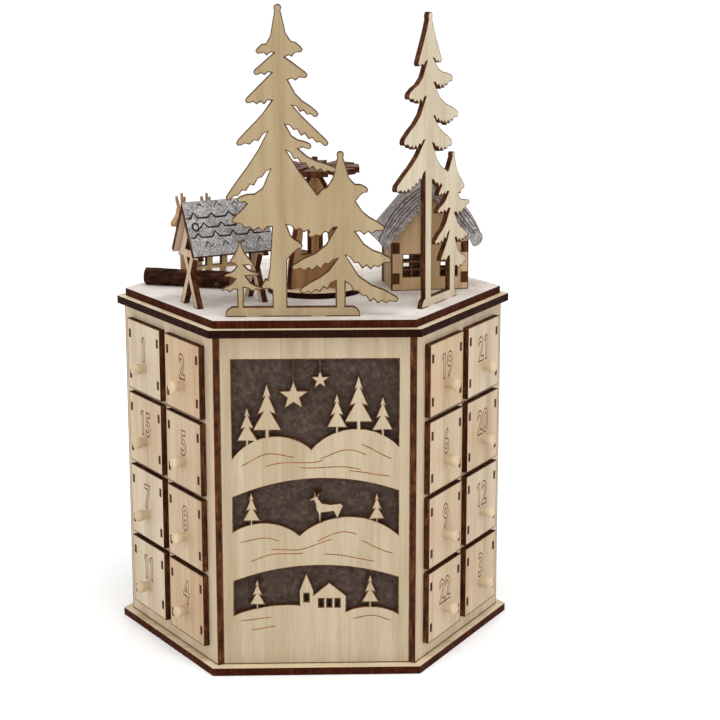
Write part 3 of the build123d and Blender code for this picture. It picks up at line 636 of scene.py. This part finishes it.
def turned_knob(name, matrix, body):
    """Small turned knob, closed at its tip, over the CAD's faceted one."""
    vertices = []
    faces = []
    for radius, reach in KNOB_PROFILE[:-1]:
        for turn in around(KNOB_STEPS):
            vertices.append(matrix @ Vector((radius * math.cos(turn), -reach, radius * math.sin(turn))))
    last = len(KNOB_PROFILE) - 2
    for ring in range(last):
        for step in range(KNOB_STEPS):
            after = (step + 1) % KNOB_STEPS
            a = ring * KNOB_STEPS
            faces.append((a + step, a + after, a + KNOB_STEPS + after, a + KNOB_STEPS + step))
    tip = len(vertices)
    vertices.append(matrix @ Vector((0, -KNOB_PROFILE[-1][1], 0)))
    a = last * KNOB_STEPS
    for step in range(KNOB_STEPS):
        faces.append((a + step, a + (step + 1) % KNOB_STEPS, tip))
    piece(name, vertices, faces, "knob_birch", body, smooth=True)


NUMBER_SIZE = 17.6
NUMBER_NARROWING = 0.72
NUMBER_FLATTENING = 0.14
NUMBER_LINE = 0.36
NUMBER_BOLD = 0.35
NUMBER_LIFT = -1.2
NUMBER_CURVE_STEPS = 5
NUMBER_BEVEL_STEPS = 1
# A one is narrower than this share of its height, and taller than this share of the size
BAR_WIDTH_SHARE = 0.3
BAR_HEIGHT_SHARE = 0.5
FLAG_REACH = 1.5
FLAG_TIP_DROP = 1.5
FLAG_HEEL_DROP = 2.9
FLAG_JOIN_DROP = 1.6
FLAG_LINE = 0.5
FLAG_LIFT = 0.05


def outlines(mesh):
    """Vertices of a mesh, parted into the outlines that hang together."""
    owner = list(range(len(mesh.vertices)))

    def root(i):
        while owner[i] != i:
            owner[i] = owner[owner[i]]
            i = owner[i]
        return i

    for edge in mesh.edges:
        owner[root(edge.vertices[0])] = root(edge.vertices[1])
    groups = {}
    for i in range(len(owner)):
        groups.setdefault(root(i), []).append(mesh.vertices[i].co)
    return list(groups.values())


def flags(mesh):
    """Slanting strokes at the top of every one, which the font draws as a plain bar."""
    lines = []
    for outline in outlines(mesh):
        left, right = min(p.x for p in outline), max(p.x for p in outline)
        foot, top = min(p.y for p in outline), max(p.y for p in outline)
        height = top - foot
        if right - left > BAR_WIDTH_SHARE * height or height < BAR_HEIGHT_SHARE * NUMBER_SIZE:
            continue
        x = (left + NUMBER_LINE) * NUMBER_NARROWING
        z = top - NUMBER_LINE + NUMBER_LIFT
        end = x - FLAG_REACH
        lines.append([(x, z), (end, z - FLAG_TIP_DROP), (end, z - FLAG_HEEL_DROP), (x, z - FLAG_JOIN_DROP)])
    return lines


def text_mesh(name, words):
    """Outline of a text as a mesh of thin round bars, in the text's own plane."""
    curve = bpy.data.curves.new(name, "FONT")
    curve.body = words
    curve.size = NUMBER_SIZE
    curve.align_x = "CENTER"
    curve.fill_mode = "NONE"
    curve.offset = NUMBER_BOLD
    curve.bevel_depth = NUMBER_LINE
    curve.bevel_resolution = NUMBER_BEVEL_STEPS
    curve.resolution_u = NUMBER_CURVE_STEPS
    text = bpy.data.objects.new(name, curve)
    bpy.context.scene.collection.objects.link(text)
    bpy.context.view_layer.update()
    mesh = bpy.data.meshes.new_from_object(text)
    bpy.data.objects.remove(text)
    return mesh


def number_outline(name, day, matrix, body):
    """Day number engraved as an outline."""
    mesh = text_mesh(name, str(day))
    upright = Matrix(
        (
            (NUMBER_NARROWING, 0, 0, 0),
            (0, 0, -NUMBER_FLATTENING, 0),
            (0, 1, 0, NUMBER_LIFT),
            (0, 0, 0, 1),
        )
    )
    vertices = [matrix @ (upright @ v.co) for v in mesh.vertices]
    faces = [tuple(reversed(p.vertices)) for p in mesh.polygons]
    flag_vertices, flag_faces = ribbon_mesh(flags(mesh), matrix, FLAG_LINE, FLAG_LIFT)
    faces += [tuple(len(vertices) + i for i in face) for face in flag_faces]
    bpy.data.meshes.remove(mesh)
    piece(name, vertices + flag_vertices, faces, "number_line", body)


WARM_DAYS = (2, 4, 14, 17, 19)
PALE_DAYS = (1, 7, 10, 11, 12, 21, 24)
FRONT_TOLERANCE = 0.05
FRONT_SCORCH_WIDTH = 0.3
FRONT_SCORCH_REACH = 0.1
# Places of a drawer's finishes in its list
FACE, EDGE, TAB, INNER = range(4)


def veneer(day):
    """Birch of one drawer's front: the sheets that the fronts are cut from differ a little."""
    if day in WARM_DAYS:
        return "warm_birch"
    return "pale_birch" if day in PALE_DAYS else "even_birch"


def drawer(day, side):
    """Looks of one drawer."""
    node = f"drawer_{day:02d}"
    turn = side_turn(side)
    back = turn.inverted()
    low, high = local_box(node, turn)
    face_y = low.y + KNOB_LENGTH * MM
    middle = Vector(((low.x + high.x) / 2, face_y, (low.z + high.z) / 2))
    facing = outward(side)
    sideways = turn @ Vector((1, 0, 0))

    def choose(polygon):
        centre = (back @ polygon.center - middle) / MM
        along = abs(polygon.normal.dot(facing)) > FACING
        if centre.y < -FRONT_TOLERANCE:
            return FACE
        if centre.y < FRONT_TOLERANCE:
            for x, z in TAB_PLACES:
                if abs(centre.x - x) < TAB_HALF_WIDTH and abs(centre.z - z) < TAB_HALF_HEIGHT:
                    return TAB
            return FACE
        if centre.y < FRONT_PLY + FRONT_TOLERANCE:
            return FACE if along else EDGE
        if along or abs(polygon.normal.dot(sideways)) > FACING:
            return INNER
        return INNER if centre.z < DRAWER_SIDE_TOP else EDGE

    paint(node, [veneer(day), "burnt_edge", "tab_end", "inner_birch"], choose)
    place = turn @ Matrix.Translation(middle) @ Matrix.Scale(MM, 4)
    turned_knob(f"knob_{day:02d}", place @ Matrix.Translation((0, 0, -KNOB_DROP)), node)
    number_outline(f"number_{day:02d}", day, place, node)
    scorch(node, facing, FRONT_SCORCH_WIDTH, reach=FRONT_SCORCH_REACH * MM - face_y)


for side, rows in DAYS.items():
    for row in rows:
        for day in row:
            drawer(day, side)


# Scorched outlines on the other boards, with their widths

for side in DAYS:
    scorch(f"drawer_wall_{side}", outward(side), width=0.4)
for side in PANEL_SIDES:
    scorch(f"fret_panel_{side}", outward(side), width=0.4)
scorch("front_tree_board", outward("front"), width=0.45)
scorch("right_tree_board", outward("right"), width=0.35)
scorch("house_front_wall", -house_y, width=0.35)
scorch("manger_trestle_left", -manger_x, width=0.3)


# Stags with antlers whittled thinner than the CAD's boards, heights as shares of the stag's

ANTLER_ROOT_SHARE = 0.76
ANTLER_THIN_FROM_SHARE = 0.85
ANTLER_THICKNESS_SHARE = 0.33
stag_reaches = [vertex.co.dot(stag_axis) for vertex in frame["nodes"]["stags"].data.vertices]
STAG_PLANES = (min(stag_reaches) + STAG_PLY / 2 * MM, max(stag_reaches) - STAG_PLY / 2 * MM)


def whittled(point):
    """Place of a stag's point after its antlers are whittled towards the middle of the board."""
    reach = point.dot(stag_axis)
    plane = min(STAG_PLANES, key=lambda place: abs(reach - place))
    height = (point.z / MM - DECK) / STAG_HEIGHT
    share = (height - ANTLER_ROOT_SHARE) / (ANTLER_THIN_FROM_SHARE - ANTLER_ROOT_SHARE)
    share = min(max(share, 0.0), 1.0)
    return point - stag_axis * (reach - plane) * (1 - ANTLER_THICKNESS_SHARE) * share


def whittled_stags():
    """The stags' boards with thin antlers, and the scorched outline on their faces."""
    shape = bmesh.new()
    shape.from_mesh(frame["nodes"]["stags"].data)
    bmesh.ops.triangulate(shape, faces=shape.faces[:])
    vertices = [whittled(vertex.co) for vertex in shape.verts]
    faces = [[vertex.index for vertex in face.verts] for face in shape.faces]
    finishes = [face.material_index for face in shape.faces]
    shape.free()
    made = piece("stag_boards", vertices, faces, "manger_birch", "cabinet")
    made.data.materials.append(looks["stag_edge"])
    for polygon, finish in zip(made.data.polygons, finishes):
        polygon.material_index = finish
    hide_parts("stags")
    outline = scorch("stags", -stag_axis, width=0.35)
    for vertex in outline.data.vertices:
        vertex.co = whittled(vertex.co)


whittled_stags()


# Engraved lines on the fretwork's hills, as shares of the window's half width and height

HILL_TOPS = [
    [(-1.0, 0.66), (-0.55, 0.735), (-0.05, 0.69), (0.45, 0.76), (1.0, 0.70)],
    [(-1.0, 0.40), (-0.60, 0.43), (-0.20, 0.385), (0.35, 0.45), (1.0, 0.385)],
    [(-1.0, 0.10), (-0.35, 0.135), (0.30, 0.10), (0.70, 0.125), (1.0, 0.10)],
]
HILL_FEET = [
    [(-1.0, 0.52), (0.0, 0.585), (1.0, 0.54)],
    [(-1.0, 0.22), (0.0, 0.275), (1.0, 0.23)],
    [(-1.0, 0.0), (0.0, 0.0), (1.0, 0.0)],
]
# Depth of each line between a hill's top and its foot, and where it starts and ends
HILL_STROKES = [
    [
        (0.30, -0.90, -0.25), (0.50, -0.62, 0.10), (0.42, 0.05, 0.62),
        (0.66, -0.20, 0.55), (0.30, 0.55, 0.92), (0.72, 0.40, 0.90),
    ],
    [
        (0.28, -0.92, -0.45), (0.46, -0.55, 0.20), (0.34, 0.02, 0.50),
        (0.62, -0.80, -0.15), (0.70, 0.10, 0.72), (0.40, 0.55, 0.94),
    ],
    [(0.28, -0.93, -0.55), (0.30, 0.45, 0.92), (0.55, -0.80, -0.50)],
]
STROKE_STEPS = 22
STROKE_WAVE = 0.05
STROKE_WAVE_TURN = 4.0
STROKE_WAVE_START = 9.0
HILL_LINE_WIDTH = 0.5


def along_points(points, x):
    """Smooth height at a place along a wavy edge."""
    for (x0, z0), (x1, z1) in zip(points, points[1:]):
        if x <= x1:
            share = (x - x0) / (x1 - x0)
            return z0 + (z1 - z0) * share * share * (3 - 2 * share)
    return points[-1][1]


def hill_strokes():
    """Lines that run along each hill between its top and its foot, in mm from the window's foot."""
    lines = []
    for top, foot, strokes in zip(HILL_TOPS, HILL_FEET, HILL_STROKES):
        for depth, start, end in strokes:
            line = []
            for x in between(start, end, STROKE_STEPS):
                share = depth + STROKE_WAVE * math.sin(STROKE_WAVE_TURN * x + STROKE_WAVE_START * depth)
                z = along_points(top, x) * (1 - share) + along_points(foot, x) * share
                line.append((x * WINDOW_HALF_WIDTH, z * WINDOW_HEIGHT))
            lines.append(line)
    return lines


window_foot = Matrix.Translation((0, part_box("fret_panel_front")[0].y, WINDOW_BOTTOM * MM))
for side in PANEL_SIDES:
    place = side_turn(side) @ window_foot @ Matrix.Scale(MM, 4)
    ribbons(f"hill_lines_{side}", hill_strokes(), place, HILL_LINE_WIDTH, "hill_line")


# Roofs, in mm: pointed shingles on the manger, grooves and thatch lines on the house

SHINGLE_ROWS = 5
SHINGLE_ROWS_BELOW = 0.9
SHINGLE_ROWS_SPARE = 0.6
SHINGLE_PITCH = 9.6
SHINGLE_STARTS = (0.95, 0.5)
SHINGLE_POINT = 2.4
SHINGLE_POINT_HALF = 1.9
SHINGLE_UNEVEN = 0.2
SHINGLE_UNEVEN_TURN = 3.7
SHINGLE_UNEVEN_ROW_TURN = 5.1
SHINGLE_SAG = 0.2
SHINGLE_END = 0.4
SHINGLE_LINE = 1.0
KNOT_ROW = 2
KNOT_X = 4.4
KNOT_RISE_SHARE = 0.53
KNOT_HALF_WIDTH = 1.7
KNOT_HALF_HEIGHT = 2.0
KNOT_STEPS = 14


def slope_frame(base, low, high, along):
    """Frame on a roof's slope: x along the ridge, z up the slope and -y out of it, in mm."""
    up_slope = (high - low).normalized()
    out = along.cross(up_slope)
    return base @ Matrix(
        (
            (along.x, -out.x, up_slope.x, low.x),
            (along.y, -out.y, up_slope.y, low.y),
            (along.z, -out.z, up_slope.z, low.z),
            (0, 0, 0, 1),
        )
    )


def shingle_row(row, level, length):
    """One row of shingles: points that a slack line joins, or points alone at the eave and the ridge."""
    points = []
    place = SHINGLE_STARTS[row % 2] * SHINGLE_PITCH
    while place + SHINGLE_POINT_HALF < length - SHINGLE_END:
        uneven = SHINGLE_UNEVEN * math.sin(SHINGLE_UNEVEN_TURN * place + SHINGLE_UNEVEN_ROW_TURN * row)
        top = level + SHINGLE_POINT * (1 + uneven)
        left, right = place - SHINGLE_POINT_HALF, place + SHINGLE_POINT_HALF
        points.append([(left, level), (place, top), (right, level)])
        place += SHINGLE_PITCH
    if row in (0, SHINGLE_ROWS - 1):
        return points
    start = KNOT_X + KNOT_HALF_WIDTH if row == KNOT_ROW else SHINGLE_END
    line = [(start, level)]
    for point in points:
        line.append(((line[-1][0] + point[0][0]) / 2, level - SHINGLE_SAG))
        line += point
    return [line + [(length - SHINGLE_END, level)]]


def knot_ring(rise):
    """Ring of a knot near the roof's end."""
    ring = []
    for turn in between(0, 2 * math.pi, KNOT_STEPS):
        x = KNOT_X + KNOT_HALF_WIDTH * math.cos(turn)
        ring.append((x, KNOT_RISE_SHARE * rise + KNOT_HALF_HEIGHT * math.sin(turn)))
    return ring


def shingles(name, way):
    """Rows of pointed shingles drawn on one slope of the manger's roof."""
    base = on_deck(MANGER_PLACE, MANGER_TURN)
    start, end = MANGER_ROOF["start"], MANGER_ROOF["end"]
    first = start if way < 0 else end
    low = Vector((first, way * MANGER_ROOF["half_span"], MANGER_ROOF["eave"]))
    high = Vector((first, 0, MANGER_ROOF["ridge"]))
    slope = slope_frame(base, low, high, Vector((-way, 0, 0)))
    rise = (high - low).length
    lines = [knot_ring(rise)]
    for row in range(SHINGLE_ROWS):
        level = rise * (row + SHINGLE_ROWS_BELOW) / (SHINGLE_ROWS + SHINGLE_ROWS_SPARE)
        lines += shingle_row(row, level, end - start)
    ribbons(name, lines, slope, SHINGLE_LINE, "shingle_line")


GROOVE_LINE = 1.0
GROOVE_COUNT = 12
GROOVE_STEPS = 8
# Uneven places of the grooves, in mm or as shares of the slope, and the turns that vary them
GROOVE_SHIFT, GROOVE_SHIFT_TURN = 0.5, 7.3
GROOVE_TOP_SHARE, GROOVE_TOP_VARY, GROOVE_TOP_TURN = 0.97, 0.10, 5.1
GROOVE_FOOT_SHARE, GROOVE_FOOT_VARY, GROOVE_FOOT_TURN = 0.04, 0.16, 2.9
GROOVE_SWAY, GROOVE_SWAY_RISE_TURN, GROOVE_SWAY_TURN = 0.35, 0.4, 2.2


def swing(turn):
    """A value from 0 to 1 that comes and goes with a turn."""
    return 0.5 + 0.5 * math.sin(turn)


def grooves(name, way):
    """Grooves from ridge to eave on one slope of the house's roof."""
    base = on_deck(HOUSE_PLACE, HOUSE_TURN)
    length = HOUSE_ROOF["length"]
    eave = HOUSE_ROOF["ridge"] - HOUSE_ROOF["half_span"] * house_fall
    first = 0 if way > 0 else length
    low = Vector((way * HOUSE_ROOF["half_span"], first, eave))
    high = Vector((0, first, HOUSE_ROOF["ridge"]))
    slope = slope_frame(base, low, high, Vector((0, way, 0)))
    rise = (high - low).length
    lines = []
    for number in range(GROOVE_COUNT):
        x = length * (number + 0.5) / GROOVE_COUNT + GROOVE_SHIFT * math.sin(GROOVE_SHIFT_TURN * number)
        top = rise * (GROOVE_TOP_SHARE - GROOVE_TOP_VARY * swing(GROOVE_TOP_TURN * number))
        foot = rise * (GROOVE_FOOT_SHARE + GROOVE_FOOT_VARY * swing(GROOVE_FOOT_TURN * number + way))
        line = []
        for z in between(foot, top, GROOVE_STEPS):
            sway = GROOVE_SWAY * math.sin(GROOVE_SWAY_RISE_TURN * z + GROOVE_SWAY_TURN * number)
            line.append((x + sway, z))
        lines.append(line)
    ribbons(name, lines, slope, GROOVE_LINE, "roof_line")


# The bargeboard's outer curve and inner edge, and the thatch lines between them
BARGE_TOP = (0.0, 57.0)
BARGE_SHOULDER = (15.8, 46.8)
BARGE_END = (26.0, 31.0)
BARGE_INNER_TOP = (0.0, 49.0)
BARGE_FOOT = (22.8, 23.0)
BARGE_PLY = 2.5
THATCH_DEPTHS = (0.14, 0.30, 0.46, 0.62)
THATCH_START_SHARE, THATCH_START_VARY, THATCH_START_TURN = 0.08, 0.05, 4.3
THATCH_END_SHARE, THATCH_END_STEP = 0.95, 0.09
THATCH_WAVE, THATCH_WAVE_TURN, THATCH_WAVE_START = 0.25, 9.0, 2.0
THATCH_LINE = 0.42


def barge_point(share, depth):
    """Place on the bargeboard's half, by its share of the way down and its depth from the outer curve."""
    near = 2 * (share - 0.5) * (share - 1)
    middle = 4 * share * (1 - share)
    far = 2 * share * (share - 0.5)
    point = []
    for axis in range(2):
        outer = near * BARGE_TOP[axis] + middle * BARGE_SHOULDER[axis] + far * BARGE_END[axis]
        inner = BARGE_INNER_TOP[axis] * (1 - share) + BARGE_FOOT[axis] * share
        point.append(outer * (1 - depth) + inner * depth)
    return point


def thatch(name, way):
    """Lines that follow the curve of one half of the bargeboard, as if it were thatched."""
    lines = []
    for number, depth in enumerate(THATCH_DEPTHS):
        start = THATCH_START_SHARE + THATCH_START_VARY * math.sin(THATCH_START_TURN * number)
        end = THATCH_END_SHARE - THATCH_END_STEP * (number % 2)
        line = []
        for share in between(start, end, STROKE_STEPS):
            x, z = barge_point(share, depth)
            wave = THATCH_WAVE * math.sin(THATCH_WAVE_TURN * share + THATCH_WAVE_START * number)
            line.append((way * x, z + wave))
        lines.append(line)
    base = on_deck(HOUSE_PLACE, HOUSE_TURN)
    ribbons(name, lines, base, THATCH_LINE, "roof_line", lift=BARGE_PLY + LINE_LIFT)


for way, manger_side, house_side in ((-1, "front", "left"), (1, "back", "right")):
    shingles(f"shingle_lines_{manger_side}", way)
    grooves(f"roof_grooves_{house_side}", way)
    thatch(f"thatch_lines_{house_side}", way)


# Log with rough bark over the CAD's plain round bar, in mm

LOG_RINGS = 64
LOG_STEPS = 48
LOG_CENTRE_SHARE = 0.95
LOG_FLOOR = 0.02
BARK_ROUGH = 0.55
BARK_DEEPEST = 1.1
BARK_MEAN, BARK_RIDGE, BARK_FINE = 0.5, 0.42, 0.25
RIDGE_ALONG, RIDGE_ROUND = 0.10, 2.6
RIDGE_DIMENSION, RIDGE_LACUNARITY, RIDGE_OCTAVES = 0.8, 2.2, 4
FINE_ALONG, FINE_ROUND = 0.5, 9


def bark_radius(x, turn):
    """Radius of the bark at a place along the log and around it."""
    round_y, round_z = math.cos(turn), math.sin(turn)
    spot = Vector((x * RIDGE_ALONG, round_y * RIDGE_ROUND, round_z * RIDGE_ROUND))
    ridge = noise.fractal(spot, RIDGE_DIMENSION, RIDGE_LACUNARITY, RIDGE_OCTAVES)
    fine = noise.noise(Vector((x * FINE_ALONG, round_y * FINE_ROUND, round_z * FINE_ROUND)))
    radius = LOG_RADIUS - BARK_ROUGH * (BARK_MEAN + BARK_RIDGE * ridge + BARK_FINE * fine)
    return min(max(radius, LOG_RADIUS - BARK_DEEPEST), LOG_RADIUS)


def bark_log():
    """Log with ridged bark and sawn ends, inside the room of the CAD's bar."""
    matrix = on_deck(LOG_PLACE, LOG_TURN)
    centre_z = LOG_RADIUS * LOG_CENTRE_SHARE
    vertices = []
    faces = []
    for x in between(0, LOG_LENGTH, LOG_RINGS):
        for turn in around(LOG_STEPS):
            radius = bark_radius(x, turn)
            z = max(centre_z + radius * math.sin(turn), LOG_FLOOR)
            vertices.append(matrix @ Vector((x, radius * math.cos(turn), z)))
    for ring in range(LOG_RINGS):
        for step in range(LOG_STEPS):
            after = (step + 1) % LOG_STEPS
            a = ring * LOG_STEPS
            faces.append((a + step, a + LOG_STEPS + step, a + LOG_STEPS + after, a + after))
    side_count = len(faces)
    for ring, x in ((0, 0), (LOG_RINGS, LOG_LENGTH)):
        middle = len(vertices)
        vertices.append(matrix @ Vector((x, 0, centre_z)))
        for step in range(LOG_STEPS):
            a = ring * LOG_STEPS + step
            b = ring * LOG_STEPS + (step + 1) % LOG_STEPS
            faces.append((middle, a, b) if ring == 0 else (middle, b, a))
    made = piece("bark_log", vertices, faces, "log_bark", "cabinet", smooth=True)
    made.data.materials.append(looks["log_end"])
    for polygon in made.data.polygons[side_count:]:
        polygon.material_index = 1
        polygon.use_smooth = False
    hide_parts("log")


bark_log()


# Floor, light and camera, in metres

FLOOR_HALF = 6.0
FLOOR_DARK = (0.94, 0.94, 0.94, 1)
FLOOR_PALE = (0.96, 0.96, 0.96, 1)
WORLD_COLOUR = (1.0, 1.0, 1.0, 1.0)
WORLD_STRENGTH = 1.1
# Place, aim, size and power of each light
LIGHTS = {
    "key": ((0.75, -1.1, 0.30), (0, 0, 0.15), 0.7, 1.2),
    "fill": ((-0.95, -0.75, 0.35), (0, 0, 0.10), 0.8, 1.8),
    "top": ((0.15, -0.45, 1.15), (0, 0, 0.15), 0.6, 4.6),
}
CAMERA_PLACE = (-0.00744, -1.02614, 0.38244)
CAMERA_DOWN = 13.14
CAMERA_TURN = -1.80
CAMERA_SENSOR = 36.0
CAMERA_LENS = 98.23


def floor_material():
    """Plain pale floor with a barely visible unevenness."""
    shade = Shade("floor_paper", roughness=0.9, specular=0.1)
    cloud = shade.noise((3, 3, 3), detail=2.0)
    return shade.finish(shade.ramp(cloud, [(0.3, FLOOR_DARK), (0.7, FLOOR_PALE)]))


def studio_floor():
    """Large flat floor."""
    half = FLOOR_HALF
    corners = [(-half, -half, 0), (half, -half, 0), (half, half, 0), (-half, half, 0)]
    mesh = bpy.data.meshes.new("studio_floor")
    mesh.from_pydata(corners, [], [(0, 1, 2, 3)])
    mesh.materials.append(floor_material())
    made = bpy.data.objects.new("studio_floor", mesh)
    bpy.context.scene.collection.objects.link(made)


def area_light(name, place, aim, size, power):
    """Soft square light that looks at a point."""
    light = bpy.data.lights.new(name, "AREA")
    light.size = size
    light.energy = power
    made = bpy.data.objects.new(name, light)
    made.location = place
    made.rotation_euler = (Vector(aim) - Vector(place)).to_track_quat("-Z", "Y").to_euler()
    bpy.context.scene.collection.objects.link(made)


def studio():
    """White surroundings, soft lights and the photograph's camera."""
    world = bpy.data.worlds.new("studio")
    world.use_nodes = True
    background = world.node_tree.nodes["Background"]
    background.inputs["Color"].default_value = WORLD_COLOUR
    background.inputs["Strength"].default_value = WORLD_STRENGTH
    bpy.context.scene.world = world
    for name, (place, aim, size, power) in LIGHTS.items():
        area_light(name, place, aim, size, power)
    lens = bpy.data.cameras.new("photo_camera")
    lens.sensor_width = CAMERA_SENSOR
    lens.lens = CAMERA_LENS
    camera = bpy.data.objects.new("photo_camera", lens)
    camera.location = CAMERA_PLACE
    camera.rotation_euler = (math.radians(90 - CAMERA_DOWN), 0, math.radians(CAMERA_TURN))
    bpy.context.scene.collection.objects.link(camera)
    bpy.context.scene.camera = camera
    bpy.context.scene.view_settings.view_transform = "Standard"


studio_floor()
studio()
